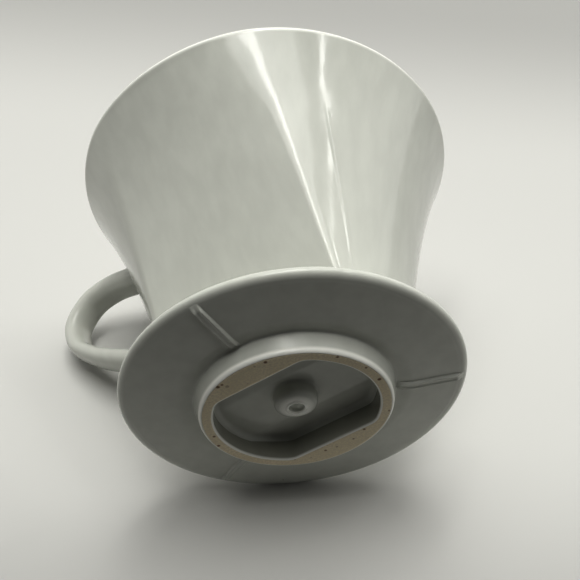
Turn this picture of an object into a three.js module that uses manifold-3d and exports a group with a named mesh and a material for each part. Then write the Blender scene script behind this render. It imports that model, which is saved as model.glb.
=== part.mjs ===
// Porcelain pour over dripper for paper filters. Millimetres, +Z up, foot on z = 0, axis of the cone on Z.
// The filter's slot runs along X, the handle points to -X, and the flat sides of the cone face -Y and +Y.
import * as THREE from 'three';
import { mergeVertices } from 'three/addons/utils/BufferGeometryUtils.js';
import Module from 'manifold-3d';

const wasm = await Module();
wasm.setup();

// Gap between solids that meet on a curved face.
const GAP = 0.3;

// Foot and recess.
const FOOT_RADIUS = 28.6;
const FOOT_ROOT_RADIUS = 31;
const RECESS_RADIUS = 25;
const RECESS_HALF_WIDTH = 19.9;
const RECESS_CORNER = 5;
const RECESS_DEPTH = 7;

// Saucer.
const SAUCER_RADIUS = 53;
const SAUCER_TOP_Z = 11;
const SAUCER_EDGE_RADIUS = 1.9;
const SAUCER_ROOT_Z = 5.3;
const SAUCER_SEGMENTS = 60;

// Ribs under the saucer that keep it off a mug's rim.
const CUP_RIB_COUNT = 3;
const CUP_RIB_AZIMUTH = -88;
const CUP_RIB_WIDTH = 2.6;
const CUP_RIB_HEIGHT = 0.8;
const CUP_RIB_START = 32;
const CUP_RIB_END = 50.6;

// Drip hole, its spout, and the funnel that leads down to it through the floor.
const DRIP_HOLE_RADIUS = 2.4;
const FUNNEL_TOP_RADIUS = 5.4;
const FUNNEL_WAIST_RADIUS = 3.6;
const FUNNEL_BOTTOM_Z = 3.6;
const NOZZLE_RADIUS = 6.8;
const NOZZLE_TIP_RADIUS = 3.1;
const NOZZLE_TIP_Z = 1.7;

// Cone wall. Its rounded ends lie on a cone of revolution, and its flat sides are cut at CREASE_X.
const WALL_BASE_RADIUS = 35.4;
const RIM_RADIUS = 65.8;
const PROFILE_TOP_Z = 103.3;
const CREASE_X = 31.8;
const FLARE_SHARE = 0.245;
const FLARE_POWER = 3.4;
const CROWN_AT_RIM = 0.93;
const CROWN_POWER = 2.5;
const LIP_RADIUS = 1.55;
const LIP_CENTRE_Z = 102.6;
const END_THICKNESS = 3.6;
const FLAT_THICKNESS = 4;
const END_EXTRA_AT_BASE = 1.6;
const FLAT_EXTRA_AT_BASE = 3.8;
const EXTRA_FADE = 9;

// Ribs inside the cone that hold the paper off the flat walls.
const FILTER_RIB_COUNT = 7;
const FILTER_RIB_PITCH = 7;
const FILTER_RIB_WIDTH = 2.2;
const FILTER_RIB_HEIGHT = 1.3;
const FILTER_RIB_BOTTOM_Z = 17;
const FILTER_RIB_TOP_Z = 76;

// Handle: a strap loop in the XZ plane, from the upper wall round to the lower wall.
const HANDLE_PATH = [
  [-54, 89],
  [-63, 91.8],
  [-74.2, 94],
  [-85.1, 92],
  [-92, 83.7],
  [-89.9, 72.9],
  [-82, 65],
  [-73.1, 58.6],
  [-63.3, 52.9],
  [-53.7, 47.5],
  [-44.4, 41.6],
  [-37, 36.7],
];
const HANDLE_WIDTH = 11.7;
const HANDLE_THICK_TOP = 9.8;
const HANDLE_THICK_MIDDLE = 6.4;
const HANDLE_THICK_FOOT = 8.3;
const HANDLE_STATIONS = 30;
const HANDLE_SIDES = 14;

const group = new THREE.Group();

function glaze() {
  return new THREE.MeshStandardMaterial({ color: 0xdedfd6, roughness: 0.12, metalness: 0 });
}

function biscuit() {
  return new THREE.MeshStandardMaterial({ color: 0xb3a48f, roughness: 0.8, metalness: 0 });
}

function addPiece(name, geometry, material) {
  const mesh = new THREE.Mesh(geometry, material);
  mesh.name = name;
  group.add(mesh);
  return mesh;
}

// Closed geometry from points and triangles, turned so that its faces point out.
function closedGeometry(points, triangles) {
  let volume = 0;
  for (const [a, b, c] of triangles) {
    const cross = new THREE.Vector3().crossVectors(points[b], points[c]);
    volume += points[a].dot(cross) / 6;
  }
  const index = [];
  for (const [a, b, c] of triangles) {
    index.push(...(volume > 0 ? [a, b, c] : [a, c, b]));
  }
  const geometry = new THREE.BufferGeometry().setFromPoints(points);
  geometry.setIndex(index);
  geometry.computeVertexNormals();
  return geometry;
}

// Skin over a row of outlines with the same number of points. A ring of outlines closes on its first
// one, as a tube wall does; otherwise each end is closed by a fan.
function loft(outlines, isRing) {
  const count = outlines[0].length;
  const points = outlines.flat();
  const triangles = [];
  const rows = isRing ? outlines.length : outlines.length - 1;
  for (let row = 0; row < rows; row += 1) {
    const next = (row + 1) % outlines.length;
    for (let i = 0; i < count; i += 1) {
      const j = (i + 1) % count;
      const a = row * count + i;
      const b = row * count + j;
      const c = next * count + j;
      const d = next * count + i;
      triangles.push([a, b, c], [a, c, d]);
    }
  }
  if (!isRing) {
    for (const [row, flip] of [[0, true], [outlines.length - 1, false]]) {
      const centre = new THREE.Vector3();
      outlines[row].forEach((point) => centre.add(point));
      points.push(centre.divideScalar(count));
      for (let i = 0; i < count; i += 1) {
        const a = row * count + i;
        const b = row * count + ((i + 1) % count);
        triangles.push(flip ? [points.length - 1, b, a] : [points.length - 1, a, b]);
      }
    }
  }
  return closedGeometry(points, triangles);
}

function toManifold(geometry) {
  const bare = geometry.clone();
  bare.deleteAttribute('normal');
  bare.deleteAttribute('uv');
  const merged = mergeVertices(bare, 1e-4);
  return new wasm.Manifold(new wasm.Mesh({
    numProp: 3,
    vertProperties: new Float32Array(merged.attributes.position.array),
    triVerts: new Uint32Array(merged.index.array),
  }));
}

function fromManifold(solid) {
  const mesh = solid.getMesh();
  const geometry = new THREE.BufferGeometry();
  geometry.setAttribute('position', new THREE.BufferAttribute(new Float32Array(mesh.vertProperties), 3));
  geometry.setIndex(new THREE.BufferAttribute(new Uint32Array(mesh.triVerts), 1));
  geometry.computeVertexNormals();
  return geometry;
}

function subtract(geometry, cutter) {
  return fromManifold(toManifold(geometry).subtract(toManifold(cutter)));
}

// Solid of revolution about Z from a profile of [radius, height] pairs.
function revolve(profile, segments) {
  const geometry = new THREE.LatheGeometry(profile.map(([r, z]) => new THREE.Vector2(r, z)), segments);
  geometry.rotateX(Math.PI / 2);
  return geometry;
}

// Points of an arc in the [radius, height] plane, from one angle to another in degrees.
function arc(centreR, centreZ, radius, from, to, steps) {
  const points = [];
  for (let i = 0; i <= steps; i += 1) {
    const angle = THREE.MathUtils.degToRad(from + (to - from) * i / steps);
    points.push([centreR + radius * Math.cos(angle), centreZ + radius * Math.sin(angle)]);
  }
  return points;
}

// --- cone wall -------------------------------------------------------------------------------------

// Share of the height from the base of the wall to the top of its profile.
function heightShare(z) {
  return (z - SAUCER_TOP_Z) / (PROFILE_TOP_Z - SAUCER_TOP_Z);
}

// Outer radius of the rounded ends: a straight taper that flares towards the rim.
function endRadius(z) {
  const t = heightShare(z);
  const s = (1 - FLARE_SHARE) * t + FLARE_SHARE * t ** FLARE_POWER;
  return WALL_BASE_RADIUS + (RIM_RADIUS - WALL_BASE_RADIUS) * s;
}

// Outer half width between the flat sides, measured at the crease.
function flatHalfWidth(z) {
  return Math.sqrt(endRadius(z) ** 2 - CREASE_X ** 2);
}

// How far the flat sides have bulged towards the round rim: 0 is flat and 1 is round.
function crown(z) {
  return CROWN_AT_RIM * heightShare(z) ** CROWN_POWER;
}

// Half width at x of an outline with rounded ends of the given radius and sides at the given half width.
function halfWidthAt(x, radius, halfWidth, bulge) {
  const round = Math.sqrt(Math.max(radius ** 2 - x ** 2, 0));
  return halfWidth + bulge * (round - halfWidth);
}

// Closed outline at height z: two round ends joined by two flat or slightly crowned sides.
function wallOutline(z, radius, halfWidth, bulge) {
  const endSteps = 12;
  const sideSteps = 8;
  const endAngle = Math.asin(halfWidth / radius);
  const creaseX = radius * Math.cos(endAngle);
  const outline = [];
  for (const side of [1, -1]) {
    for (let i = 0; i < endSteps; i += 1) {
      const angle = endAngle * (2 * i / endSteps - 1);
      outline.push(new THREE.Vector3(side * radius * Math.cos(angle), side * radius * Math.sin(angle), z));
    }
    for (let i = 0; i < sideSteps; i += 1) {
      const x = creaseX * (1 - 2 * i / sideSteps);
      const y = halfWidthAt(x, radius, halfWidth, bulge);
      outline.push(new THREE.Vector3(side * x, side * y, z));
    }
  }
  return outline;
}

function outerOutline(z, grow = 0) {
  return wallOutline(z, endRadius(z) + grow, flatHalfWidth(z) + grow, crown(z));
}

function extraAtBase(z, amount) {
  return amount * Math.exp(-(z - SAUCER_TOP_Z) / EXTRA_FADE);
}

function innerEndRadius(z) {
  return endRadius(z) - END_THICKNESS - extraAtBase(z, END_EXTRA_AT_BASE);
}

function innerHalfWidth(z) {
  return flatHalfWidth(z) - FLAT_THICKNESS - extraAtBase(z, FLAT_EXTRA_AT_BASE);
}

function innerOutline(z) {
  return wallOutline(z, innerEndRadius(z), innerHalfWidth(z), crown(z));
}

// Round lip: outlines on a half circle from the outer face over the top to the inner face.
function lipOutlines() {
  const outlines = [];
  const centreRadius = RIM_RADIUS - LIP_RADIUS;
  const inset = endRadius(LIP_CENTRE_Z) - centreRadius;
  for (const [r, z] of arc(0, LIP_CENTRE_Z, LIP_RADIUS, -25, 190, 7)) {
    const halfWidth = flatHalfWidth(LIP_CENTRE_Z) - inset + r;
    outlines.push(wallOutline(z, centreRadius + r, halfWidth, CROWN_AT_RIM));
  }
  return outlines;
}

const WALL_HEIGHTS = [SAUCER_TOP_Z, 14, 20, 32, 46, 60, 72, 82, 90, 96, 100];

function coneWall() {
  const outer = WALL_HEIGHTS.map((z) => outerOutline(z));
  const inner = WALL_HEIGHTS.map((z) => innerOutline(z)).reverse();
  return loft([...outer, ...lipOutlines(), ...inner], true);
}

// The outside of the cone as a filled solid, a gap larger, to cut pieces that meet the wall.
function wallEnvelope() {
  const tops = [...WALL_HEIGHTS, PROFILE_TOP_Z];
  return loft(tops.map((z) => outerOutline(z, GAP * 1.15)), false);
}

// --- floor, saucer, foot and nozzle ----------------------------------------------------------------

function coneFloor() {
  const profile = [
    [FUNNEL_WAIST_RADIUS, RECESS_DEPTH],
    [FOOT_ROOT_RADIUS, RECESS_DEPTH],
    [FOOT_ROOT_RADIUS, SAUCER_TOP_Z],
    [FUNNEL_TOP_RADIUS, SAUCER_TOP_Z],
    [FUNNEL_WAIST_RADIUS, RECESS_DEPTH],
  ];
  return revolve(profile, 96);
}

// Height of the saucer's underside, which rises slightly from the foot to the edge.
function undersideZ(r) {
  const edgeR = SAUCER_RADIUS - SAUCER_EDGE_RADIUS;
  const edgeZ = SAUCER_TOP_Z - 2 * SAUCER_EDGE_RADIUS;
  return SAUCER_ROOT_Z + (edgeZ - SAUCER_ROOT_Z) * (r - FOOT_ROOT_RADIUS) / (edgeR - FOOT_ROOT_RADIUS);
}

function saucerFlange() {
  const bore = FOOT_ROOT_RADIUS + GAP;
  const edgeR = SAUCER_RADIUS - SAUCER_EDGE_RADIUS;
  const edgeZ = SAUCER_TOP_Z - SAUCER_EDGE_RADIUS;
  const profile = [
    [bore, undersideZ(bore)],
    ...arc(edgeR, edgeZ, SAUCER_EDGE_RADIUS, -90, 90, 6),
    [bore, SAUCER_TOP_Z],
    [bore, undersideZ(bore)],
  ];
  return revolve(profile, SAUCER_SEGMENTS);
}

// Outline of the recess in the foot: a circle cut by two flats, with rounded corners.
function recessShape() {
  const cornerY = RECESS_HALF_WIDTH - RECESS_CORNER;
  const cornerX = Math.sqrt((RECESS_RADIUS - RECESS_CORNER) ** 2 - cornerY ** 2);
  const joint = Math.atan2(cornerY, cornerX);
  const shape = new THREE.Shape();
  shape.absarc(0, 0, RECESS_RADIUS, -joint, joint, false);
  shape.absarc(cornerX, cornerY, RECESS_CORNER, joint, Math.PI / 2, false);
  shape.absarc(-cornerX, cornerY, RECESS_CORNER, Math.PI / 2, Math.PI - joint, false);
  shape.absarc(0, 0, RECESS_RADIUS, Math.PI - joint, Math.PI + joint, false);
  shape.absarc(-cornerX, -cornerY, RECESS_CORNER, Math.PI + joint, 1.5 * Math.PI, false);
  shape.absarc(cornerX, -cornerY, RECESS_CORNER, 1.5 * Math.PI, 2 * Math.PI - joint, false);
  return shape;
}

function footRing() {
  const profile = [
    [0, 0],
    [FOOT_RADIUS, 0],
    [FOOT_RADIUS + 0.5, 0.5],
    [FOOT_RADIUS + 1.3, 2],
    [FOOT_RADIUS + 2, 4],
    [FOOT_ROOT_RADIUS, SAUCER_ROOT_Z],
    [FOOT_ROOT_RADIUS, RECESS_DEPTH],
    [0, RECESS_DEPTH],
  ];
  const options = { depth: RECESS_DEPTH + 2, bevelEnabled: false, curveSegments: 10 };
  const cutter = new THREE.ExtrudeGeometry(recessShape(), options);
  cutter.translate(0, 0, -1);
  return subtract(revolve(profile, SAUCER_SEGMENTS), cutter);
}

function dripNozzle() {
  const profile = [
    [FUNNEL_WAIST_RADIUS, RECESS_DEPTH],
    [DRIP_HOLE_RADIUS, FUNNEL_BOTTOM_Z],
    [DRIP_HOLE_RADIUS, NOZZLE_TIP_Z + 0.3],
    [NOZZLE_TIP_RADIUS - 0.4, NOZZLE_TIP_Z],
    [NOZZLE_TIP_RADIUS, NOZZLE_TIP_Z],
    [NOZZLE_RADIUS - 1.7, 2.5],
    [NOZZLE_RADIUS - 0.6, 3.5],
    [NOZZLE_RADIUS - 0.15, 4.8],
    [NOZZLE_RADIUS, RECESS_DEPTH],
    [FUNNEL_WAIST_RADIUS, RECESS_DEPTH],
  ];
  return revolve(profile, 32);
}

// A low rib along a radius, a gap below the saucer's underside, rounded off towards both ends.
function cupRib() {
  const sections = [];
  for (const [share, rise] of [[0, 0.5], [0.06, 1], [0.94, 1], [1, 0.5]]) {
    const r = CUP_RIB_START + (CUP_RIB_END - CUP_RIB_START) * share;
    const top = undersideZ(r) - GAP;
    const bottom = top - CUP_RIB_HEIGHT * rise;
    const half = CUP_RIB_WIDTH / 2;
    sections.push([
      new THREE.Vector3(r, -half, top),
      new THREE.Vector3(r, -half * 0.6, bottom),
      new THREE.Vector3(r, half * 0.6, bottom),
      new THREE.Vector3(r, half, top),
    ]);
  }
  return loft(sections, false);
}

// --- ribs inside the cone --------------------------------------------------------------------------

// A rib down one flat inner wall at x, on the side of -Y or +Y. It fades out at both ends.
function filterRib(x, side) {
  const sections = [];
  for (const [share, rise] of [[0, 0.4], [0.05, 1], [0.3, 1], [0.6, 1], [0.9, 1], [1, 0.3]]) {
    const z = FILTER_RIB_BOTTOM_Z + (FILTER_RIB_TOP_Z - FILTER_RIB_BOTTOM_Z) * share;
    const half = FILTER_RIB_WIDTH / 2;
    const backs = [x - half, x + half].map((edge) => {
      const y = halfWidthAt(edge, innerEndRadius(z), innerHalfWidth(z), crown(z)) - GAP;
      return new THREE.Vector3(edge, side * y, z);
    });
    const front = Math.min(Math.abs(backs[0].y), Math.abs(backs[1].y)) - FILTER_RIB_HEIGHT * rise;
    sections.push([
      backs[0],
      backs[1],
      new THREE.Vector3(x + half * 0.6, side * front, z),
      new THREE.Vector3(x - half * 0.6, side * front, z),
    ]);
  }
  return loft(sections, false);
}

// --- handle ----------------------------------------------------------------------------------------

function handleThickness(share) {
  return share < 0.5
    ? THREE.MathUtils.lerp(HANDLE_THICK_TOP, HANDLE_THICK_MIDDLE, 2 * share)
    : THREE.MathUtils.lerp(HANDLE_THICK_MIDDLE, HANDLE_THICK_FOOT, 2 * share - 1);
}

function handleStrap() {
  const curve = new THREE.CatmullRomCurve3(HANDLE_PATH.map(([x, z]) => new THREE.Vector3(x, 0, z)));
  const across = new THREE.Vector3(0, 1, 0);
  const sections = [];
  for (let i = 0; i <= HANDLE_STATIONS; i += 1) {
    const share = i / HANDLE_STATIONS;
    const centre = curve.getPointAt(share);
    const outward = new THREE.Vector3().crossVectors(curve.getTangentAt(share), across);
    const section = [];
    for (let k = 0; k < HANDLE_SIDES; k += 1) {
      const angle = 2 * Math.PI * k / HANDLE_SIDES;
      const point = centre.clone();
      point.addScaledVector(across, HANDLE_WIDTH / 2 * Math.cos(angle));
      point.addScaledVector(outward, handleThickness(share) / 2 * Math.sin(angle));
      section.push(point);
    }
    sections.push(section);
  }
  return subtract(loft(sections, false), wallEnvelope());
}

// --- assembly --------------------------------------------------------------------------------------

addPiece('cone_wall', coneWall(), glaze());
addPiece('cone_floor', coneFloor(), glaze());
addPiece('saucer_flange', saucerFlange(), glaze());
addPiece('foot_ring', footRing(), biscuit());
addPiece('drip_nozzle', dripNozzle(), glaze());
addPiece('handle', handleStrap(), glaze());

for (let i = 0; i < CUP_RIB_COUNT; i += 1) {
  const rib = addPiece(`cup_rib_${i + 1}`, cupRib(), glaze());
  rib.rotation.z = THREE.MathUtils.degToRad(CUP_RIB_AZIMUTH + 360 * i / CUP_RIB_COUNT);
}

for (const [wall, side] of [['front', -1], ['back', 1]]) {
  for (let i = 0; i < FILTER_RIB_COUNT; i += 1) {
    const x = (i - (FILTER_RIB_COUNT - 1) / 2) * FILTER_RIB_PITCH;
    addPiece(`filter_rib_${wall}_${i + 1}`, filterRib(x, side), glaze());
  }
}

export default group;
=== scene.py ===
# Glazed porcelain pour over dripper, lying on its side on a pale table, with its foot towards the camera.
# Shapes are worked out in millimetres in the part's frame, which stands upright on its foot, and are
# scaled to metres as each mesh is made. Materials, lights and the camera use metres.
import math

import bpy
import numpy as np
from mathutils import Matrix, Vector


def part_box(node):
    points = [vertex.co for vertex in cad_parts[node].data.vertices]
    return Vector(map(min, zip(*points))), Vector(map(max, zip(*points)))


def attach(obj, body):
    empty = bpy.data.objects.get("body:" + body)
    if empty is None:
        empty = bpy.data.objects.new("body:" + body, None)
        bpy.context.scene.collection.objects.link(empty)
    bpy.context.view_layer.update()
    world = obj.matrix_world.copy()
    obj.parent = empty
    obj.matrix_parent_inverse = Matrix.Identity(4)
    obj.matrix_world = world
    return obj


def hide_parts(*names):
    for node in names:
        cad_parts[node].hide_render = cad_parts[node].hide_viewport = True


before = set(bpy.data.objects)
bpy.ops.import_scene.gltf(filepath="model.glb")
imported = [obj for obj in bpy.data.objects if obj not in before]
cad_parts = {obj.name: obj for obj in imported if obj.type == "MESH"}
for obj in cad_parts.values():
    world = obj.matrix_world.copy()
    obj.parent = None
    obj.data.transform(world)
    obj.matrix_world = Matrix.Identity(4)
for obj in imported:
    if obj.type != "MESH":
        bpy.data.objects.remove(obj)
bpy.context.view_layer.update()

MM = 0.001


def extent(node):
    """Lowest and highest corner of a CAD node, in millimetres."""
    low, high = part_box(node)
    return Vector(low) / MM, Vector(high) / MM


# --- driving sizes, read from the frame ---------------------------------------------------------

_, wall_high = extent("cone_wall")
_, saucer_high = extent("saucer_flange")
_, foot_high = extent("foot_ring")
nozzle_low, nozzle_high = extent("drip_nozzle")
handle_low, handle_high = extent("handle")

FOOT_ROOT_RADIUS = foot_high.x - 0.5
CEILING_Z = foot_high.z
SAUCER_RADIUS = saucer_high.x
SAUCER_TOP = saucer_high.z
RIM_TOP = wall_high.z
RIM_RADIUS = wall_high.x
NOZZLE_RADIUS = nozzle_high.x
NOZZLE_TIP_Z = nozzle_low.z

# --- sizes of the details -----------------------------------------------------------------------

# Cone wall: the rolled lip, the flare of the rounded ends, and the two flat sides.
LIP_RADIUS = 1.55
LIP_TILT = 27
PROFILE_TOP_Z = 103.3
WALL_BASE_RADIUS = 35.4
FLARE_SHARE = 0.245
FLARE_POWER = 3.4
CREASE_X = 31.8
CREASE_SOFTNESS = 1.8
CROWN_AT_RIM = 0.93
CROWN_POWER = 2.5
END_THICKNESS = 3.5
FLAT_THICKNESS = 3.9
END_EXTRA_AT_BASE = 1.6
FLAT_EXTRA_AT_BASE = 3.8
EXTRA_FADE = 9
BASE_FILLET = 3
INNER_BASE_FILLET = 2.2
FILLET_STEPS = 8
SINK = 0.6

# Runs of thicker glaze down the rounded end at +X, on its -Y side: degrees round from +X at height 0,
# degrees gained with each millimetre of height, how far it stands off, and the height of its top.
GLAZE_RUNS = [(21.3, 0.202, 0.12, 84), (11.0, 0.230, 0.04, 70)]
GLAZE_RUN_HALF_WIDTH = 1.2
GLAZE_RUN_FADE = 20

# Saucer and foot, with a turned groove round the foot's root and a bead of glaze at its lower edge.
SAUCER_EDGE_RADIUS = 1.9
SAUCER_UNDER_ROUND = 2.8
SAUCER_ROOT_Z = 5.3
SAUCER_HIDDEN_Z = SAUCER_TOP - 1.4
GROOVE_DEPTH = 0.9
GROOVE_WIDTH = 5.5
FOOT_RADIUS = 28.15
FOOT_FILLET = 0.4
FOOT_BEAD_ROUND = 1.3
RECESS_RADIUS = 25
RECESS_HALF_WIDTH = 19.9
RECESS_CORNER = 5
RECESS_FACE_ROUND = 0.7
FOOT_BACKING = 1.2
CEILING_PLATEAU = 9
CEILING_SLOPE_RISE = 1.6
CEILING_FILLET = 1.8

# Drip hole: the funnel down to it, the hole itself, and the dome round its mouth.
DRIP_HOLE_RADIUS = 2.4
FUNNEL_TOP_RADIUS = 5.4
FUNNEL_WAIST_RADIUS = 3.6
FUNNEL_EDGE_ROUND = 1.2
NOZZLE_WAIST_HEIGHT = 1.9
NOZZLE_INNER_ROUND = 0.35
NOZZLE_OUTER_ROUND = 0.45
NOZZLE_DOME_HEIGHT = 2.9
NOZZLE_DOME_POWERS = (0.8, 0.6)
NOZZLE_FILLET = 0.9

# Ribs: their number, place, height and half width. Their fades are shares of the length, and the flank
# of a cup rib is given in shares of the half width.
CUP_RIB_COUNT = 3
CUP_RIB_AZIMUTH = -88
CUP_RIB_START = 30.8
CUP_RIB_HEIGHT = 1.0
CUP_RIB_HOLLOW = 0.3
CUP_RIB_HALF_WIDTH = 2.0
CUP_RIB_INNER_FADE = 0.08
CUP_RIB_OUTER_FADE = 0.12
CUP_RIB_FLANK_START = 0.52
CUP_RIB_FLANK_WIDTH = 0.34
FILTER_RIB_COUNT = 7
FILTER_RIB_PITCH = 7
FILTER_RIB_HEIGHT = 1.6
FILTER_RIB_HALF_WIDTH = 1.9
FILTER_RIB_FADE = 0.12
RIB_EDGE_SINK = 0.03

# Handle: its centre line in the XZ plane, its section, how its two ends meet the wall, and how many
# degrees the wall leans there. Each end meets the wall between its two shares of the path.
HANDLE_PATH = [
    (-54, 89),
    (-63, 91.8),
    (-74.2, 94),
    (-84.9, 92),
    (-91.6, 83.7),
    (-89.6, 72.9),
    (-82, 65),
    (-73.1, 58.6),
    (-63.3, 52.9),
    (-53.7, 47.5),
    (-44.4, 41.6),
    (-37, 36.7),
]
HANDLE_WIDTH = handle_high.y - handle_low.y
HANDLE_THICKNESS = (9.8, 6.4, 8.3)
HANDLE_FILLET = 2.4
HANDLE_SIDES = 48
HANDLE_SQUARENESS = 2.3
HANDLE_DEPTH_IN_WALL = 1.4
HANDLE_END_SHARES = ((0, 0.3), (1, 0.72))
WALL_LEAN_AT_HANDLE = 19


# --- mesh helpers -------------------------------------------------------------------------------


def skin(name, rings, loop=False):
    """Closed mesh over rows of points. A loop joins last row to first; otherwise fans close both ends."""
    rings = np.asarray(rings, float) * MM
    rows, count = rings.shape[:2]
    points = rings.reshape(-1, 3)
    row = np.arange(rows if loop else rows - 1)[:, None]
    col = np.arange(count)[None, :]
    following = (col + 1) % count
    above = (row + 1) % rows
    corners = [row * count + col, row * count + following, above * count + following, above * count + col]
    quads = np.stack(np.broadcast_arrays(*corners), -1).reshape(-1, 4)
    faces = quads.tolist()
    if not loop:
        ends = [(0, rings[0].mean(0)), (rows - 1, rings[-1].mean(0))]
        for number, (row_at, centre) in enumerate(ends):
            hub = len(points)
            points = np.vstack([points, centre])
            for i in range(count):
                a, b = row_at * count + i, row_at * count + (i + 1) % count
                faces.append([hub, b, a] if number == 0 else [hub, a, b])
    p = points
    volume = np.einsum("ij,ij->", p[quads[:, 0]], np.cross(p[quads[:, 1]], p[quads[:, 2]]))
    volume += np.einsum("ij,ij->", p[quads[:, 0]], np.cross(p[quads[:, 2]], p[quads[:, 3]]))
    if volume < 0:
        faces = [face[::-1] for face in faces]
    mesh = bpy.data.meshes.new(name)
    mesh.from_pydata(points.tolist(), [], faces)
    mesh.shade_smooth()
    mesh.update()
    piece = bpy.data.objects.new(name, mesh)
    bpy.context.scene.collection.objects.link(piece)
    return piece


def finish_piece(piece, material, slot, *nodes):
    piece.data.materials.append(material)
    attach(piece, "root")
    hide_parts(*nodes)


def arc(centre_r, centre_z, radius, start, end, steps):
    """Points (r, z) of an arc between two angles in degrees."""
    angles = np.radians(np.linspace(start, end, steps + 1))
    return [(centre_r + radius * math.cos(a), centre_z + radius * math.sin(a)) for a in angles]


def revolve(name, profile, count):
    """Closed ring swept round Z from a closed profile of (r, z) points."""
    around = np.linspace(0, 2 * np.pi, count, endpoint=False)
    rings = [[(r * math.cos(a), r * math.sin(a), z) for r, z in profile] for a in around]
    return skin(name, rings, loop=True)


def smooth(t):
    t = np.clip(t, 0, 1)
    return t * t * (3 - 2 * t)


# --- cone wall ----------------------------------------------------------------------------------


LIP_CENTRE_Z = RIM_TOP - LIP_RADIUS


def height_share(z):
    return (z - SAUCER_TOP) / (PROFILE_TOP_Z - SAUCER_TOP)


def end_radius(z):
    t = max(height_share(z), 0)
    s = (1 - FLARE_SHARE) * t + FLARE_SHARE * t**FLARE_POWER
    return WALL_BASE_RADIUS + (RIM_RADIUS - WALL_BASE_RADIUS) * s


def flat_half_width(z):
    return math.sqrt(end_radius(z) ** 2 - CREASE_X**2)


def crown(z):
    return CROWN_AT_RIM * max(height_share(z), 0) ** CROWN_POWER


def soft_corner(u, softness):
    """The lower of u and 0, with the corner between them rounded."""
    middle = -((softness - u) ** 2) / (4 * softness)
    return np.where(u < -softness, u, np.where(u > softness, 0, middle))


def half_width_at(x, radius, half_width, bulge):
    """Half width at x of an outline with round ends and flat or crowned sides."""
    u = np.sqrt(np.maximum(radius**2 - np.square(x), 0)) - half_width
    return half_width + bulge * u + (1 - bulge) * soft_corner(u, CREASE_SOFTNESS)


def run_azimuth(z, run=GLAZE_RUNS[0]):
    return math.radians(run[0] + run[1] * z)


def glaze_runs(x, y, z):
    """How far the runs of glaze stand off the wall at points of its outline."""
    radius = np.hypot(x, y)
    azimuth = np.arctan2(-y, x)
    rise = np.zeros_like(radius)
    for run in GLAZE_RUNS:
        distance = radius * np.abs(azimuth - run_azimuth(z, run)) / GLAZE_RUN_HALF_WIDTH
        fade = smooth((run[3] - z) / GLAZE_RUN_FADE)
        rise += run[2] * fade * (1 - smooth(distance)) * (x > 0)
    return rise


def wall_outline(z, radius, half_width, bulge):
    """Outline at height z, with its points closest together at the creases and at a run of glaze."""
    crease = math.asin(half_width / radius)
    near = 1.3 * CREASE_SOFTNESS / (radius * math.cos(crease))
    run = min(run_azimuth(z), crease - near - 3 * GLAZE_RUN_HALF_WIDTH / radius)
    run_near = 1.2 * GLAZE_RUN_HALF_WIDTH / radius
    quarter = np.concatenate(
        [
            np.linspace(0, run - run_near, 26, endpoint=False),
            np.linspace(run - run_near, run + run_near, 14, endpoint=False),
            np.linspace(run + run_near, crease - near, 12, endpoint=False),
            np.linspace(crease - near, crease + near, 16, endpoint=False),
            np.linspace(crease + near, math.pi / 2, 30, endpoint=False),
        ]
    )
    half = np.concatenate([quarter, math.pi - np.concatenate([[math.pi / 2], quarter[:0:-1]])])
    x = radius * np.cos(half)
    y = np.maximum(half_width_at(x, radius, half_width, bulge), 0)
    y[0] = 0
    up = np.stack([x, y, np.full_like(x, z)], 1)
    down = up * (-1, -1, 1)
    return np.concatenate([up, down])


def outer_outline(z, grow=0.0):
    outline = wall_outline(z, end_radius(z) + grow, flat_half_width(z) + grow, crown(z))
    x, y = outline[:, 0], outline[:, 1]
    scale = 1 + glaze_runs(x, y, z) / np.hypot(x, y)
    return outline * np.stack([scale, scale, np.ones_like(scale)], 1)


def inner_sizes(z):
    """End radius and half width of the inside, which is thicker towards the base."""
    extra = math.exp(-max(z - SAUCER_TOP, 0) / EXTRA_FADE)
    radius = end_radius(z) - END_THICKNESS - END_EXTRA_AT_BASE * extra
    half_width = flat_half_width(z) - FLAT_THICKNESS - FLAT_EXTRA_AT_BASE * extra
    return radius, half_width


def inner_outline(z, shrink=0.0):
    radius, half_width = inner_sizes(z)
    return wall_outline(z, radius - shrink, half_width - shrink, crown(z))


def fillet_heights(radius):
    """Heights over the base through a fillet, closest together at its foot, as (height, stand-off)."""
    angles = np.radians(np.linspace(0, 90, FILLET_STEPS + 1))
    return [(radius * (1 - math.cos(a)), radius * (1 - math.sin(a))) for a in angles]


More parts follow.
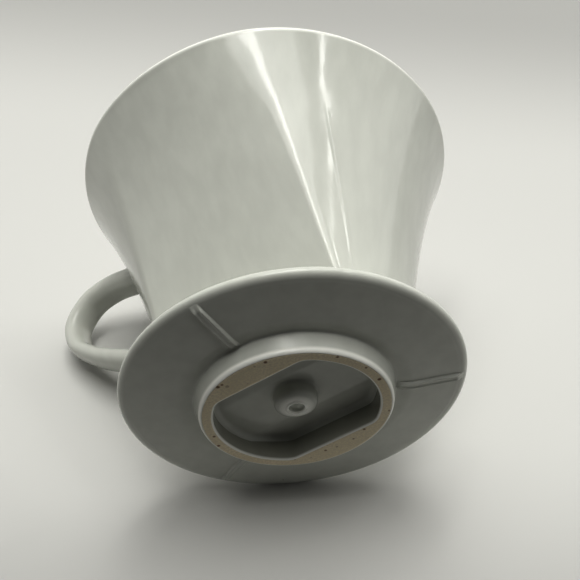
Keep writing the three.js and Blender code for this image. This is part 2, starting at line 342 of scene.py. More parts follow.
def make_wall():
    """One closed skin: up the outside from the fillet on the saucer, over the lip and down the inside."""
    rings = [outer_outline(SAUCER_TOP - SINK, BASE_FILLET)]
    for rise, grow in fillet_heights(BASE_FILLET):
        rings.append(outer_outline(SAUCER_TOP + rise, grow))
    lip_r = end_radius(LIP_CENTRE_Z) - LIP_RADIUS / math.cos(math.radians(LIP_TILT))
    lip_start_z = LIP_CENTRE_Z - LIP_RADIUS * math.sin(math.radians(LIP_TILT))
    for z in np.linspace(SAUCER_TOP + BASE_FILLET + 1, lip_start_z - 0.8, 64):
        rings.append(outer_outline(z))
    inset = end_radius(LIP_CENTRE_Z) - lip_r
    for r, z in arc(0, LIP_CENTRE_Z, LIP_RADIUS, -LIP_TILT, 180 - LIP_TILT, 20):
        half_width = flat_half_width(LIP_CENTRE_Z) - inset + r
        rings.append(wall_outline(z, lip_r + r, half_width, crown(LIP_CENTRE_Z)))
    lip_end_z = LIP_CENTRE_Z + LIP_RADIUS * math.sin(math.radians(LIP_TILT))
    for z in np.linspace(lip_end_z - 1.6, SAUCER_TOP + INNER_BASE_FILLET + 1, 60):
        rings.append(inner_outline(z))
    for rise, shrink in reversed(fillet_heights(INNER_BASE_FILLET)):
        rings.append(inner_outline(SAUCER_TOP + rise, shrink))
    rings.append(inner_outline(SAUCER_TOP - SINK, INNER_BASE_FILLET))
    return skin("cone_wall_body", rings, loop=True)


# --- recess, floor, foot, nozzle and saucer -----------------------------------------------------


def recess_outline(grow=0.0):
    """Points round the recess in the foot: two arcs, two flats and four rounded corners."""
    corner_y = RECESS_HALF_WIDTH - RECESS_CORNER
    corner_x = math.sqrt((RECESS_RADIUS - RECESS_CORNER) ** 2 - corner_y**2)
    joint = math.atan2(corner_y, corner_x)
    quarter = []
    for a in np.linspace(0, joint, 24, endpoint=False):
        quarter.append((RECESS_RADIUS * math.cos(a), RECESS_RADIUS * math.sin(a), a))
    for a in np.linspace(joint, math.pi / 2, 20, endpoint=False):
        x = corner_x + RECESS_CORNER * math.cos(a)
        y = corner_y + RECESS_CORNER * math.sin(a)
        quarter.append((x, y, a))
    for x in np.linspace(corner_x, 0, 24, endpoint=False):
        quarter.append((x, RECESS_HALF_WIDTH, math.pi / 2))
    middle = (0.0, RECESS_HALF_WIDTH, math.pi / 2)
    mirrored = [(-x, y, math.pi - a) for x, y, a in reversed(quarter)][:-1]
    half = quarter + [middle] + mirrored
    full = half + [(-RECESS_RADIUS, 0.0, math.pi)]
    full += [(x, -y, -a) for x, y, a in reversed(half)][:-1]
    return np.array([(x + grow * math.cos(a), y + grow * math.sin(a)) for x, y, a in full])


def circle_like(outline, radius):
    """Points on a circle at the azimuths of the outline's points."""
    azimuth = np.arctan2(outline[:, 1], outline[:, 0])
    return radius * np.stack([np.cos(azimuth), np.sin(azimuth)], 1)


def at_height(outline, z):
    return np.column_stack([outline, np.broadcast_to(z, len(outline))])


def ceiling_height(points):
    """The recess's ceiling: level along the middle, rising from a soft ridge towards the flats."""
    beyond = np.abs(points[:, 1]) - CEILING_PLATEAU
    ramp = np.where(beyond > 0, beyond, 0) / (RECESS_HALF_WIDTH - CEILING_PLATEAU)
    return CEILING_Z + CEILING_SLOPE_RISE * (1 - (1 - ramp) ** 2)


def slot_outline(grow, count_from):
    """The slot at the bottom of the cone, seen from above, at the azimuths of another outline."""
    radius, half_width = inner_sizes(SAUCER_TOP)
    radius += grow
    half_width += grow
    azimuth = np.arctan2(count_from[:, 1], count_from[:, 0])
    reach = np.minimum(radius, half_width / np.maximum(np.abs(np.sin(azimuth)), 1e-6))
    return np.stack([reach * np.cos(azimuth), reach * np.sin(azimuth)], 1)


def make_floor():
    """Slab over the recess. Its underside is the recess's ceiling, its top is the bottom of the slot."""
    wall = recess_outline(0.8)
    hole = circle_like(wall, FUNNEL_WAIST_RADIUS)
    inner = recess_outline(-CEILING_FILLET)
    rings = []
    for share in np.linspace(0, 1, 24, endpoint=False):
        flat = hole + (inner - hole) * share
        rings.append(at_height(flat, ceiling_height(flat)))
    for angle in np.radians(np.linspace(0, 90, 9)):
        edge = recess_outline(-CEILING_FILLET * (1 - math.sin(angle)))
        drop = CEILING_FILLET * (1 - math.cos(angle))
        rings.append(at_height(edge, ceiling_height(edge) - drop))
    rings.append(at_height(wall, ceiling_height(wall) - CEILING_FILLET))
    rings.append(at_height(wall, SAUCER_TOP - 1.5))
    slot_edge = slot_outline(1.5, wall)
    rings.append(at_height(slot_edge, SAUCER_TOP - 1.5))
    rings.append(at_height(slot_edge, SAUCER_TOP + 0.45))
    for share in np.linspace(0, 1, 20):
        flat = slot_edge + (circle_like(wall, FUNNEL_TOP_RADIUS + FUNNEL_EDGE_ROUND) - slot_edge) * share
        rings.append(at_height(flat, SAUCER_TOP + 0.45 - 0.3 * share))
    lean = math.degrees(math.atan2(SAUCER_TOP - CEILING_Z, FUNNEL_TOP_RADIUS - FUNNEL_WAIST_RADIUS))
    for angle in np.radians(np.linspace(10, lean, 6)):
        r = FUNNEL_TOP_RADIUS + FUNNEL_EDGE_ROUND * (1 - math.sin(angle))
        z = SAUCER_TOP + 0.15 - FUNNEL_EDGE_ROUND * (1 - math.cos(angle))
        rings.append(at_height(circle_like(wall, r), z))
    return skin("cone_floor_body", rings, loop=True)


def make_recess_lining():
    """Glazed wall of the recess, rounded where it meets the bare face of the foot."""
    backing = recess_outline(FOOT_BACKING)
    top_z = CEILING_Z + 1.5
    rings = [at_height(backing, top_z), at_height(recess_outline(0), top_z)]
    for z in np.linspace(CEILING_Z, FOOT_BACKING, 8):
        rings.append(at_height(recess_outline(0), z))
    for angle in np.radians(np.linspace(0, 80, 9)):
        grow = RECESS_FACE_ROUND * (1 - math.cos(angle))
        z = RECESS_FACE_ROUND * (1 - math.sin(angle))
        rings.append(at_height(recess_outline(grow), z))
    rings.append(at_height(recess_outline(RECESS_FACE_ROUND + 0.25), 0.12))
    rings.append(at_height(backing, FOOT_BACKING))
    return skin("recess_lining", rings, loop=True)


def make_foot_face():
    """The ground, unglazed ring that the dripper stands on."""
    inner = recess_outline(RECESS_FACE_ROUND)
    outer = circle_like(inner, FOOT_RADIUS + 0.2)
    rings = [at_height(inner, 1.4)]
    for share in np.linspace(0, 1, 14):
        rings.append(at_height(inner + (outer - inner) * share, 0.02))
    rings.append(at_height(outer, 1.4))
    return skin("foot_face", rings, loop=True)


def foot_side_profile():
    """Glazed outside of the foot, from the bare face up to the saucer's underside."""
    bead_r = FOOT_RADIUS + FOOT_BEAD_ROUND
    profile = arc(FOOT_RADIUS, FOOT_BEAD_ROUND, FOOT_BEAD_ROUND, -72, 4, 16)
    lean = (FOOT_ROOT_RADIUS - bead_r) / (SAUCER_ROOT_Z - FOOT_BEAD_ROUND)
    top_z = SAUCER_ROOT_Z + GROOVE_DEPTH - FOOT_FILLET
    top_r = bead_r + lean * (top_z - FOOT_BEAD_ROUND)
    profile += [(bead_r + lean * (z - FOOT_BEAD_ROUND), z) for z in np.linspace(2.3, top_z, 6)]
    profile += arc(top_r + FOOT_FILLET, top_z, FOOT_FILLET, 172, 86, 10)
    return profile


def make_foot_band():
    """Glazed outside of the foot as a closed ring, with its back hidden in the foot."""
    profile = foot_side_profile()
    last_r = profile[-1][0]
    profile += [(last_r + 0.5, SAUCER_ROOT_Z + 1.4), (FOOT_RADIUS - 1.5, SAUCER_ROOT_Z + 1.4)]
    profile += [(FOOT_RADIUS - 1.5, 1.5), (FOOT_RADIUS - 0.1, 0.5)]
    return revolve("foot_band", profile, 320)


def underside(r):
    """Height of the saucer's underside, which has a shallow turned groove round the foot."""
    edge_r = SAUCER_RADIUS - SAUCER_EDGE_RADIUS
    edge_z = SAUCER_TOP - 2 * SAUCER_EDGE_RADIUS
    share = (r - FOOT_ROOT_RADIUS) / (edge_r - FOOT_ROOT_RADIUS)
    groove = GROOVE_DEPTH * (1 - smooth((r - FOOT_ROOT_RADIUS) / GROOVE_WIDTH))
    return SAUCER_ROOT_Z + (edge_z - SAUCER_ROOT_Z) * share + groove


def rounded_underside(r):
    """Height of the saucer's underside, on over the rounding at its edge."""
    cosine = min(1 - (SAUCER_RADIUS - r) / SAUCER_UNDER_ROUND, 1)
    if cosine <= 0:
        return underside(r)
    rounding = SAUCER_TOP - SAUCER_EDGE_RADIUS * (1 + math.sqrt(1 - cosine**2))
    return max(underside(r), rounding)


def make_saucer():
    """Flat ring with a rounded edge, whose middle is hidden under the cone and the foot."""
    edge_r = SAUCER_RADIUS - SAUCER_EDGE_RADIUS
    profile = [(8, SAUCER_HIDDEN_Z), (27.5, SAUCER_HIDDEN_Z)]
    profile += [(r, underside(r)) for r in np.linspace(28, SAUCER_RADIUS - SAUCER_UNDER_ROUND, 40)]
    middle_z = SAUCER_TOP - SAUCER_EDGE_RADIUS
    for a in np.radians(np.linspace(-84, 0, 14, endpoint=False)):
        r = SAUCER_RADIUS - SAUCER_UNDER_ROUND * (1 - math.cos(a))
        profile.append((r, middle_z + SAUCER_EDGE_RADIUS * math.sin(a)))
    profile += arc(edge_r, middle_z, SAUCER_EDGE_RADIUS, 0, 90, 12)
    profile += [(r, SAUCER_TOP) for r in np.linspace(edge_r - 1, 8, 14)]
    return revolve("saucer_body", profile, 320)


def make_nozzle():
    """Small dome round the drip hole, standing on the recess's ceiling."""
    hole, tip = DRIP_HOLE_RADIUS, NOZZLE_TIP_Z
    waist_z = tip + NOZZLE_WAIST_HEIGHT
    profile = [(FUNNEL_WAIST_RADIUS + 0.4, CEILING_Z + 1), (FUNNEL_WAIST_RADIUS, CEILING_Z)]
    profile += [(hole + 0.15, waist_z + 0.5), (hole, waist_z), (hole, tip + 0.55)]
    inner, outer = NOZZLE_INNER_ROUND, NOZZLE_OUTER_ROUND
    profile += arc(hole + inner, tip + inner, inner, 180, 270, 5)
    profile += arc(hole + outer, tip + outer, outer, -88, -50, 4)
    dome_r = NOZZLE_RADIUS - 0.1
    shoulder_z = tip + NOZZLE_DOME_HEIGHT
    drop = shoulder_z - tip - 0.15
    wide, tall = NOZZLE_DOME_POWERS
    start = math.degrees(math.asin(((hole + 0.9) / dome_r) ** 1.25))
    for a in np.radians(np.linspace(start, 90, 18)):
        profile.append((dome_r * math.sin(a) ** wide, shoulder_z - drop * math.cos(a) ** tall))
    root_r = dome_r + NOZZLE_FILLET
    profile += arc(root_r, CEILING_Z - NOZZLE_FILLET, NOZZLE_FILLET, 175, 92, 8)
    profile += [(root_r, CEILING_Z + 0.6), (FUNNEL_WAIST_RADIUS + 1.5, CEILING_Z + 1)]
    return revolve("nozzle_body", profile, 160)


# --- ribs ---------------------------------------------------------------------------------------


def ridge(name, place, along, across, height_at, sink):
    """Low raised rib. place gives a point of the face it stands on, and the face's outward normal."""
    rings = []
    for s in along:
        crest = []
        back = []
        for t in across:
            point, normal = place(s, t)
            crest.append(point + normal * height_at(s, t))
            back.append(point - normal * sink)
        rings.append(crest + back[::-1])
    return skin(name, rings)


def cup_rib_height(s, t):
    """Height at a share s of the length and t of the half width: soft at both ends, hollow on top."""
    ends = smooth(s / CUP_RIB_INNER_FADE) * smooth((1 - s) / CUP_RIB_OUTER_FADE)
    flank = 1 - smooth((abs(t) - CUP_RIB_FLANK_START) / CUP_RIB_FLANK_WIDTH)
    hollow = CUP_RIB_HOLLOW * (1 - smooth(abs(t) / 0.5))
    return CUP_RIB_HEIGHT * ends * (flank - hollow) - RIB_EDGE_SINK


def make_cup_rib(number):
    azimuth = math.radians(CUP_RIB_AZIMUTH + 360 * number / CUP_RIB_COUNT)
    out = Vector((math.cos(azimuth), math.sin(azimuth), 0))
    side = Vector((-math.sin(azimuth), math.cos(azimuth), 0))
    end = SAUCER_RADIUS - 1.2

    def place(s, t):
        r = CUP_RIB_START + (end - CUP_RIB_START) * s
        point = out * r + side * (CUP_RIB_HALF_WIDTH * t)
        point.z = rounded_underside(r)
        return point, Vector((0, 0, -1))

    along, across = np.linspace(0, 1, 48), np.linspace(-1, 1, 25)
    return ridge(f"cup_rib_body_{number + 1}", place, along, across, cup_rib_height, 0.9)


def filter_rib_height(s, t):
    ends = smooth(s / FILTER_RIB_FADE) * smooth((1 - s) / FILTER_RIB_FADE)
    return FILTER_RIB_HEIGHT * ends * (0.5 + 0.5 * math.cos(math.pi * t)) - RIB_EDGE_SINK


def make_filter_rib(wall, side, number):
    x_middle = (number - (FILTER_RIB_COUNT - 1) / 2) * FILTER_RIB_PITCH
    low, high = extent(f"filter_rib_{wall}_{number + 1}")

    def place(s, t):
        z = low.z - 1 + (high.z - low.z + 2) * s
        radius, half_width = inner_sizes(z)
        x = x_middle + FILTER_RIB_HALF_WIDTH * t
        y = float(half_width_at(x, radius, half_width, crown(z)))
        return Vector((x, side * y, z)), Vector((0, -side, 0))

    along, across = np.linspace(0, 1, 60), np.linspace(-1, 1, 17)
    name = f"filter_rib_body_{wall}_{number + 1}"
    return ridge(name, place, along, across, filter_rib_height, 1.2)


# --- handle -------------------------------------------------------------------------------------


def handle_line():
    """Dense centre line of the handle: points and their unit tangents, evenly spaced by length."""
    knots = np.array(HANDLE_PATH, float)
    padded = np.vstack([2 * knots[0] - knots[1], knots, 2 * knots[-1] - knots[-2]])
    dense = []
    for i in range(1, len(padded) - 2):
        p0, p1, p2, p3 = padded[i - 1 : i + 3]
        d01, d12, d23 = (math.sqrt(np.linalg.norm(b - a)) for a, b in ((p0, p1), (p1, p2), (p2, p3)))
        m1 = (p1 - p0) / d01 - (p2 - p0) / (d01 + d12) + (p2 - p1) / d12
        m2 = (p2 - p1) / d12 - (p3 - p1) / (d12 + d23) + (p3 - p2) / d23
        m1, m2 = m1 * d12, m2 * d12
        for t in np.linspace(0, 1, 60, endpoint=False):
            h = (2 * t**3 - 3 * t**2 + 1, t**3 - 2 * t**2 + t, -2 * t**3 + 3 * t**2, t**3 - t**2)
            dense.append(h[0] * p1 + h[1] * m1 + h[2] * p2 + h[3] * m2)
    dense.append(knots[-1])
    dense = np.array(dense)
    run = np.concatenate([[0], np.cumsum(np.linalg.norm(np.diff(dense, axis=0), axis=1))])
    even = np.linspace(0, run[-1], 1201)
    line = np.stack([np.interp(even, run, dense[:, k]) for k in (0, 1)], 1)
    tangent = np.gradient(line, axis=0)
    tangent /= np.linalg.norm(tangent, axis=1)[:, None]
    return line, tangent


def make_handle():
    """Strap handle whose two ends run into the wall with a fillet all round."""
    line, tangent = handle_line()

    def section_point(share, k, grow):
        """Point k round the section at a share of the path, with the section grown by a distance."""
        at = share * (len(line) - 1)
        x, z = (np.interp(at, np.arange(len(line)), line[:, c]) for c in (0, 1))
        tx, tz = (np.interp(at, np.arange(len(line)), tangent[:, c]) for c in (0, 1))
        thickness = np.interp(share, (0, 0.5, 1), HANDLE_THICKNESS)
        angle = 2 * math.pi * k / HANDLE_SIDES
        c, s = math.cos(angle), math.sin(angle)
        power = 2 / HANDLE_SQUARENESS
        across = math.copysign(abs(c) ** power, c) * HANDLE_WIDTH / 2
        outward = math.copysign(abs(s) ** power, s) * thickness / 2
        length = math.hypot(across, outward)
        across *= 1 + grow / length
        outward *= 1 + grow / length
        return np.array([x - tz * outward, across, z + tx * outward])

    def wall_distance(point):
        """How far a point is from the cone's rounded end, measured square to the wall."""
        lean = math.cos(math.radians(WALL_LEAN_AT_HANDLE))
        return (math.hypot(point[0], point[1]) - end_radius(point[2])) * lean

    def share_at(k, grow, distance, low, high):
        """Share of the path where a line along the handle is at a distance from the wall."""
        rising = wall_distance(section_point(high, k, grow)) > wall_distance(section_point(low, k, grow))
        for _ in range(40):
            middle = (low + high) / 2
            if (wall_distance(section_point(middle, k, grow)) < distance) == rising:
                low = middle
            else:
                high = middle
        return (low + high) / 2

    fillet_steps = 10
    body_steps = 90
    rings = [[] for _ in range(2 * (fillet_steps + 2) + body_steps - 1)]
    for k in range(HANDLE_SIDES):
        stations = []
        for low, high in HANDLE_END_SHARES:
            rows = [(share_at(k, HANDLE_FILLET, -HANDLE_DEPTH_IN_WALL, low, high), HANDLE_FILLET)]
            for angle in np.radians(np.linspace(90, 0, fillet_steps + 1)):
                grow = HANDLE_FILLET * (1 - math.cos(angle))
                gap = HANDLE_FILLET * (1 - math.sin(angle))
                rows.append((share_at(k, grow, gap, low, high), grow))
            stations.append(rows)
        first, last = stations[0][-1][0], stations[1][-1][0]
        body = [(share, 0.0) for share in np.linspace(first, last, body_steps + 1)[1:-1]]
        rows = stations[0] + body + stations[1][::-1]
        for ring, (share, grow) in zip(rings, rows):
            ring.append(section_point(share, k, grow))
    return skin("handle_strap", rings)


# --- materials ----------------------------------------------------------------------------------

# Glaze: the tones it clouds between, the share of its colour left in its drawn lines, its roughness, and
# its specks as (scale, size, share of cells with none).
GLAZE_TONES = ((0.568, 0.578, 0.534), (0.650, 0.660, 0.612))
# Darker tones for the recess's lining: painted shade, the glaze darkened where the recess lies in shade.
RECESS_PAINTED_SHADE_TONES = ((0.300, 0.300, 0.260), (0.380, 0.380, 0.330))
GLAZE_CLOUD_SCALE = 28
GLAZE_LINE_SCALE = 190
GLAZE_LINE_SHARE = 0.945
GLAZE_GLOSS_SCALE = 70
GLAZE_ROUGHNESS = (0.09, 0.14)
FOOT_GLAZE_ROUGHNESS = (0.20, 0.28)
RECESS_GLAZE_ROUGHNESS = (0.05, 0.09)
GLAZE_SPECKS = (75, 0.02, 0.72)
GLAZE_SPECK_COLOUR = (0.20, 0.14, 0.08)
GLAZE_IOR = 1.5
GLAZE_SPECULAR = 0.38

# Relief of the glaze, from the lowest layer up: slow waves, lines drawn down the wall, throwing rings and
# orange peel. Each is how its pattern is stretched, its scale, its detail and its depth in metres.
EVEN = (1, 1, 1)
DRAWN = (1, 1, 0.07)
THROWN = (0.06, 0.06, 1)
GLAZE_RELIEF = [
    (EVEN, 45, 1, 0.00022),
    (DRAWN, 260, 2, 0.00004),
    (THROWN, 420, 2, 0.000012),
    (EVEN, 750, 1, 0.000008),
]
CLAY_RELIEF = [(EVEN, 700, 3, 0.00004), (EVEN, 2600, 2, 0.00001)]

# Painted highlights: pale bands painted along the lip, the recess's edge, the foot's bead and the
# nozzle's tip, where the light draws bright lines: the heights where each band begins and where it is
# palest.
EDGE_PAINTED_HIGHLIGHT_COLOUR = (0.92, 0.92, 0.87)
LIP_PAINTED_HIGHLIGHT = (0.1015, 0.1028)
RECESS_EDGE_PAINTED_HIGHLIGHT = (0.0007, 0.0001)
FOOT_BEAD_PAINTED_HIGHLIGHT = (0.0020, 0.0012)
NOZZLE_TIP_PAINTED_HIGHLIGHT = ((NOZZLE_TIP_Z + 0.8) * MM, (NOZZLE_TIP_Z + 0.3) * MM)

# Bare clay: the tones of its stains, its grain, and its small and large iron specks.
CLAY_TONES = ((0.66, 0.58, 0.40), (0.97, 0.88, 0.68))
CLAY_STAIN_SCALE = 90
CLAY_GRAIN_COLOUR = (0.70, 0.62, 0.48)
CLAY_GRAIN_SCALE = 1400
SMALL_SPECKS = (420, 0.30, 0.60)
SMALL_SPECK_COLOUR = (0.24, 0.15, 0.09)
LARGE_SPECKS = (160, 0.13, 0.45)
LARGE_SPECK_COLOUR = (0.09, 0.05, 0.03)
CLAY_ROUGHNESS = 0.72


def new_material(name):
    """A material with its node tree and its shader."""
    material = bpy.data.materials.new(name)
    material.use_nodes = True
    tree = material.node_tree
    shader = tree.nodes["Principled BSDF"]
    return material, tree, shader


def node(tree, kind, **values):
    """A new node, with each value put on its socket of that name or on its own setting."""
    made = tree.nodes.new(kind)
    for key, value in values.items():
        if key in made.inputs:
            made.inputs[key].default_value = value
        else:
            setattr(made, key, value)
    return made


def stretched(tree, scale):
    """Coordinates of the part's own frame, stretched by a scale along each axis."""
    place = node(tree, "ShaderNodeTexCoord")
    mapping = node(tree, "ShaderNodeMapping")
    mapping.inputs["Scale"].default_value = scale
    tree.links.new(place.outputs["Object"], mapping.inputs["Vector"])
    return mapping.outputs["Vector"]


def height(tree):
    """Height above the foot's flat end, in metres."""
    place = node(tree, "ShaderNodeTexCoord")
    split = node(tree, "ShaderNodeSeparateXYZ")
    tree.links.new(place.outputs["Object"], split.inputs["Vector"])
    return split.outputs["Z"]


def noise(tree, vector, scale, detail):
    made = node(tree, "ShaderNodeTexNoise", Scale=scale, Detail=detail)
    tree.links.new(vector, made.inputs["Vector"])
    return made.outputs["Fac"]


def mix_colours(tree, factor, first, second):
    made = node(tree, "ShaderNodeMix", data_type="RGBA")
    tree.links.new(factor, made.inputs["Factor"])
    for socket, value in ((made.inputs[6], first), (made.inputs[7], second)):
        if isinstance(value, tuple):
            socket.default_value = (*value, 1)
        else:
            tree.links.new(value, socket)
    return made.outputs[2]


def scaled(tree, colour, share):
    """The colour, darkened to a share of itself."""
    if isinstance(colour, tuple):
        return tuple(channel * share for channel in colour)
    made = node(tree, "ShaderNodeVectorMath", operation="SCALE")
    made.inputs["Scale"].default_value = share
    tree.links.new(colour, made.inputs[0])
    return made.outputs[0]


def ramp(tree, value, low, high, out_low=0.0, out_high=1.0):
    """The value, mapped from low..high to out_low..out_high and held at both ends."""
    made = node(tree, "ShaderNodeMapRange")
    made.inputs["From Min"].default_value = low
    made.inputs["From Max"].default_value = high
    made.inputs["To Min"].default_value = out_low
    made.inputs["To Max"].default_value = out_high
    tree.links.new(value, made.inputs["Value"])
    return made.outputs["Result"]


def specks(tree, vector, scale, size, share):
    """Small spots: 1 inside a spot, 0 elsewhere. share is how many cells have none."""
    cells = node(tree, "ShaderNodeTexVoronoi", Scale=scale)
    tree.links.new(vector, cells.inputs["Vector"])
    spot = ramp(tree, cells.outputs["Distance"], size, size * 0.6)
    chosen = ramp(tree, cells.outputs["Color"], share, share + 0.05)
    both = node(tree, "ShaderNodeMath", operation="MULTIPLY")
    tree.links.new(spot, both.inputs[0])
    tree.links.new(chosen, both.inputs[1])
    return both.outputs[0]


def add_relief(tree, shader, layers):
    """Roughens the shader's surface with layers of noise, each on top of the one before."""
    below = None
    for stretch, scale, detail, depth in layers:
        layer = node(tree, "ShaderNodeBump", Distance=depth)
        tree.links.new(noise(tree, stretched(tree, stretch), scale, detail), layer.inputs["Height"])
        if below is not None:
            tree.links.new(below, layer.inputs["Normal"])
        below = layer.outputs["Normal"]
    tree.links.new(below, shader.inputs["Normal"])


def glaze_material(name, tones, roughness, painted_highlights):
    """Glaze: glossy, slightly wavy, drawn down the wall, with painted highlights as paler bands along
    given edges.
    """
    material, tree, shader = new_material(name)
    plain = stretched(tree, EVEN)
    cloudy = mix_colours(tree, noise(tree, plain, GLAZE_CLOUD_SCALE, 3), *tones)
    lines = ramp(tree, noise(tree, stretched(tree, DRAWN), GLAZE_LINE_SCALE, 3), 0.35, 0.65)
    tint = mix_colours(tree, lines, cloudy, scaled(tree, cloudy, GLAZE_LINE_SHARE))
    # Painted highlights: each band paints the glaze paler towards an edge.
    for start, end in painted_highlights:
        tint = mix_colours(tree, ramp(tree, height(tree), start, end), tint, EDGE_PAINTED_HIGHLIGHT_COLOUR)
    colour = mix_colours(tree, specks(tree, plain, *GLAZE_SPECKS), tint, GLAZE_SPECK_COLOUR)
    tree.links.new(colour, shader.inputs["Base Color"])
    gloss = ramp(tree, noise(tree, plain, GLAZE_GLOSS_SCALE, 2), 0.3, 0.7, *roughness)
    tree.links.new(gloss, shader.inputs["Roughness"])
    shader.inputs["IOR"].default_value = GLAZE_IOR
    shader.inputs["Specular IOR Level"].default_value = GLAZE_SPECULAR
    add_relief(tree, shader, GLAZE_RELIEF)
    return material


def biscuit_material():
    """Bare fired clay of the ground foot: fine grain, warm stains and dark iron specks."""
    material, tree, shader = new_material("bare_porcelain")
    plain = stretched(tree, EVEN)
    stain = mix_colours(tree, noise(tree, plain, CLAY_STAIN_SCALE, 4), *CLAY_TONES)
    grit = ramp(tree, noise(tree, plain, CLAY_GRAIN_SCALE, 3), 0.35, 0.65)
    grain = mix_colours(tree, grit, stain, CLAY_GRAIN_COLOUR)
    small = mix_colours(tree, specks(tree, plain, *SMALL_SPECKS), grain, SMALL_SPECK_COLOUR)
    large = mix_colours(tree, specks(tree, plain, *LARGE_SPECKS), small, LARGE_SPECK_COLOUR)
    tree.links.new(large, shader.inputs["Base Color"])
    shader.inputs["Roughness"].default_value = CLAY_ROUGHNESS
    add_relief(tree, shader, CLAY_RELIEF)
    return material


# --- object -------------------------------------------------------------------------------------

glaze = glaze_material("white_glaze", GLAZE_TONES, GLAZE_ROUGHNESS, (LIP_PAINTED_HIGHLIGHT, RECESS_EDGE_PAINTED_HIGHLIGHT))
nozzle_glaze = glaze_material("nozzle_glaze", GLAZE_TONES, GLAZE_ROUGHNESS, (NOZZLE_TIP_PAINTED_HIGHLIGHT,))
foot_glaze = glaze_material("foot_glaze", GLAZE_TONES, FOOT_GLAZE_ROUGHNESS, (FOOT_BEAD_PAINTED_HIGHLIGHT,))
# The recess's lining gets the darker tones: painted shade inside the recess.
recess_painted_shade_glaze = glaze_material(
    "recess_painted_shade_glaze", RECESS_PAINTED_SHADE_TONES, RECESS_GLAZE_ROUGHNESS, (RECESS_EDGE_PAINTED_HIGHLIGHT,)
)
biscuit = biscuit_material()

finish_piece(make_wall(), glaze, "glazed_porcelain", "cone_wall")
finish_piece(make_floor(), glaze, "glazed_porcelain", "cone_floor")
finish_piece(make_saucer(), glaze, "glazed_porcelain", "saucer_flange")
finish_piece(make_foot_face(), biscuit, "bare_porcelain", "foot_ring")
finish_piece(make_foot_band(), foot_glaze, "glazed_porcelain", "foot_ring")
finish_piece(make_recess_lining(), recess_painted_shade_glaze, "glazed_porcelain", "foot_ring")
finish_piece(make_nozzle(), nozzle_glaze, "glazed_porcelain", "drip_nozzle")
finish_piece(make_handle(), glaze, "glazed_porcelain", "handle")
for i in range(CUP_RIB_COUNT):
    finish_piece(make_cup_rib(i), glaze, "glazed_porcelain", f"cup_rib_{i + 1}")
for wall, side in (("front", -1), ("back", 1)):
    for i in range(FILTER_RIB_COUNT):
        rib = make_filter_rib(wall, side, i)
        finish_piece(rib, glaze, "glazed_porcelain", f"filter_rib_{wall}_{i + 1}")

# --- camera -------------------------------------------------------------------------------------

# The camera's place and turn in the part's frame, and its focal length and sensor width in millimetres.
CAMERA_PLACE = Vector((0.124054, -0.215200, -0.171100))
CAMERA_FORWARD = Vector((-0.366363, 0.652676, 0.663168))
CAMERA_UP = Vector((0.440927, -0.505840, 0.741424))
CAMERA_LENS = 62.457
CAMERA_SENSOR = 36
CAMERA_CLIP = 0.01
VIEW_GAMMA = 0.8


def axes_to_matrix(right, up, back, place):
    turn = Matrix((right, up, back)).transposed().to_4x4()
    return Matrix.Translation(place) @ turn


def make_camera():
    data = bpy.data.cameras.new("camera")
    data.lens = CAMERA_LENS
    data.sensor_width = CAMERA_SENSOR
    data.clip_start = CAMERA_CLIP
    camera = bpy.data.objects.new("camera", data)
    bpy.context.scene.collection.objects.link(camera)
    right = CAMERA_FORWARD.cross(CAMERA_UP).normalized()
    up = right.cross(CAMERA_FORWARD).normalized()
    camera.matrix_world = axes_to_matrix(right, up, -CAMERA_FORWARD.normalized(), CAMERA_PLACE)
    bpy.context.scene.camera = camera


# --- table and light ----------------------------------------------------------------------------

# The dripper lies on its side, so the table's upward direction is not Z. AWAY and RIGHT lie in the table.
TABLE_UP = Vector((0.59586, -0.79073, 0.14039)).normalized()
AWAY = (CAMERA_FORWARD - CAMERA_FORWARD.dot(TABLE_UP) * TABLE_UP).normalized()
RIGHT = AWAY.cross(TABLE_UP)


def table_depth():
    """How far below the origin the table lies: as deep as the part reaches."""
    depth = 0
    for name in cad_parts:
        cad = bpy.data.objects.get(name)
        if cad is not None and cad.type == "MESH":
            depth = max(depth, max(-TABLE_UP.dot(vertex.co) for vertex in cad.data.vertices))
    return depth


# The table's paint, and where it darkens near and far: the distances where that begins and is done, in
# metres along AWAY, and the share of the colour that is left. The near darkening is a painted shadow on
# the camera's side. The far one leans to the right.
TABLE_COLOUR = (0.62, 0.618, 0.600)
TABLE_NEAR_PAINTED_SHADOW = (0.05, -0.17, 0.12)
TABLE_FAR = (0.23, 0.41, 0.73)
TABLE_FAR_SLANT = 0.11
TABLE_ROUGHNESS = 0.55
TABLE_HALF_SIZE = 3.0
TABLE_GAP = 0.0001


def table_colour(tree):
    """Pale paint that is darker far behind the part, with a painted shadow on the camera's side of it."""
    place = node(tree, "ShaderNodeTexCoord")
    colour = TABLE_COLOUR
    far_way = AWAY + RIGHT * TABLE_FAR_SLANT
    # The near fade paints a shadow on the table; the far one darkens the paint far behind the part.
    for way, (start, end, share) in ((AWAY, TABLE_NEAR_PAINTED_SHADOW), (far_way, TABLE_FAR)):
        reach = node(tree, "ShaderNodeVectorMath", operation="DOT_PRODUCT")
        reach.inputs[1].default_value = way
        tree.links.new(place.outputs["Object"], reach.inputs[0])
        fade = ramp(tree, reach.outputs["Value"], start, end)
        fade.node.interpolation_type = "SMOOTHSTEP"
        darker = scaled(tree, colour, share)
        colour = mix_colours(tree, fade, colour, darker)
    return colour


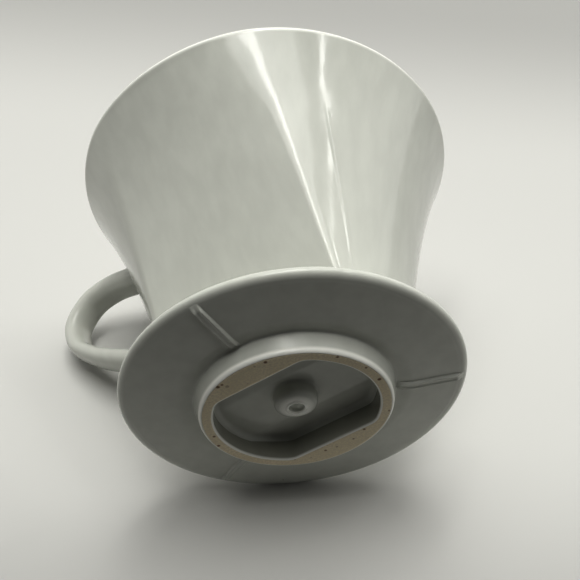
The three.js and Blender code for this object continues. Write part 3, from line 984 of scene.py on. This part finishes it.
def make_table():
    """Flat square under the part, seen from above only: from below it is clear."""
    mesh = bpy.data.meshes.new("table")
    centre = -TABLE_UP * (table_depth() + TABLE_GAP)
    across, deep = RIGHT * TABLE_HALF_SIZE, AWAY * TABLE_HALF_SIZE
    corners = [centre + across * a + deep * b for a, b in ((-1, -1), (1, -1), (1, 1), (-1, 1))]
    mesh.from_pydata([tuple(c) for c in corners], [], [(0, 1, 2, 3)])
    mesh.update()
    table = bpy.data.objects.new("table", mesh)
    bpy.context.scene.collection.objects.link(table)
    material, tree, shader = new_material("pale_table")
    tree.links.new(table_colour(tree), shader.inputs["Base Color"])
    shader.inputs["Roughness"].default_value = TABLE_ROUGHNESS
    clear = node(tree, "ShaderNodeBsdfTransparent")
    faces = node(tree, "ShaderNodeNewGeometry")
    choose = node(tree, "ShaderNodeMixShader")
    output = tree.nodes["Material Output"]
    tree.links.new(faces.outputs["Backfacing"], choose.inputs["Fac"])
    tree.links.new(shader.outputs["BSDF"], choose.inputs[1])
    tree.links.new(clear.outputs["BSDF"], choose.inputs[2])
    tree.links.new(choose.outputs["Shader"], output.inputs["Surface"])
    mesh.materials.append(material)


TARGET = Vector((0, 0, 0.05))
LIGHT_COLOUR = (1.0, 0.998, 0.968)

# Soft boxes round the part: the way to each and the way its long side runs, as (right, away, up) over
# the table, then its distance, width and length in metres and how bright its face is.
SOFT_BOXES = {
    "overhead_core": ((-0.10, 0.02, 1.0), (0.55, 1, 0), 1.3, 0.15, 1.00, 3.0),
    "overhead_box": ((-0.06, 0.04, 1.0), (0.55, 1, 0), 1.4, 0.50, 1.20, 0.25),
    "overhead_glow": ((-0.02, 0.12, 1.0), (0.55, 1, 0), 1.5, 1.00, 1.60, 1.10),
}

# A narrow strip light that bends round the right side, as (right, away, up) ways to its corners.
STRIP_CORNERS = [(0.53, -0.03, 0.86), (0.478, 0.125, 0.870), (0.565, 0.255, 0.785)]
STRIP_DISTANCE = 2.5
STRIP_WIDTH = 0.09
STRIP_BRIGHTNESS = 5.0


def over_table(way):
    """The direction that is so much to the right, away and up, as seen over the table."""
    return RIGHT * way[0] + AWAY * way[1] + TABLE_UP * way[2]


def add_light(name, way, along, distance, width, length, brightness):
    toward = over_table(way).normalized()
    data = bpy.data.lights.new(name, "AREA")
    data.shape = "RECTANGLE"
    data.size = width
    data.size_y = length
    data.energy = math.pi**2 * width * length * brightness
    data.color = LIGHT_COLOUR
    lamp = bpy.data.objects.new(name, data)
    lamp.visible_camera = False
    bpy.context.scene.collection.objects.link(lamp)
    right = over_table(along).cross(toward).normalized()
    lamp.matrix_world = axes_to_matrix(right, toward.cross(right), toward, TARGET + toward * distance)


def make_lights():
    """The soft boxes, and one strip between each two corners of the side light."""
    for name, values in SOFT_BOXES.items():
        add_light(name, *values)
    for i, (start, end) in enumerate(zip(STRIP_CORNERS, STRIP_CORNERS[1:])):
        start, end = Vector(start).normalized(), Vector(end).normalized()
        length = (end - start).length * STRIP_DISTANCE
        sizes = (STRIP_DISTANCE, STRIP_WIDTH, length, STRIP_BRIGHTNESS)
        add_light(f"side_strip_{i + 1}", start + end, end - start, *sizes)


# Soft patches of the room: the way to the middle of each, as (right, away, up), then its inner and outer
# reach in degrees and how bright it is.
ROOM_PATCHES = {
    "zenith": ((0.0, 0.1, 1.0), 5, 60, 0.20),
    "right": ((0.9, 0.45, 0.1), 5, 65, 1.22),
    "left": ((-0.8, 0.5, 0.3), 5, 60, 0.80),
    "back": ((0.05, 0.95, 0.3), 5, 60, 0.10),
}


def make_world():
    """Dim room with soft bright patches, which the glaze reflects."""
    world = bpy.data.worlds.new("room")
    bpy.context.scene.world = world
    world.use_nodes = True
    tree = world.node_tree
    place = node(tree, "ShaderNodeTexCoord")
    total = None
    for way, inner, outer, brightness in ROOM_PATCHES.values():
        facing = node(tree, "ShaderNodeVectorMath", operation="DOT_PRODUCT")
        facing.inputs[1].default_value = over_table(way).normalized()
        tree.links.new(place.outputs["Generated"], facing.inputs[0])
        reach = [math.cos(math.radians(angle)) for angle in (outer, inner)]
        patch = ramp(tree, facing.outputs["Value"], *reach, 0.0, brightness)
        patch.node.interpolation_type = "SMOOTHSTEP"
        if total is None:
            total = patch
        else:
            adding = node(tree, "ShaderNodeMath", operation="ADD")
            tree.links.new(total, adding.inputs[0])
            tree.links.new(patch, adding.inputs[1])
            total = adding.outputs[0]
    tree.nodes["Background"].inputs["Color"].default_value = (*LIGHT_COLOUR, 1)
    tree.links.new(total, tree.nodes["Background"].inputs["Strength"])


make_camera()
make_table()
make_lights()
make_world()
bpy.context.scene.view_settings.view_transform = "Standard"
bpy.context.scene.view_settings.gamma = VIEW_GAMMA
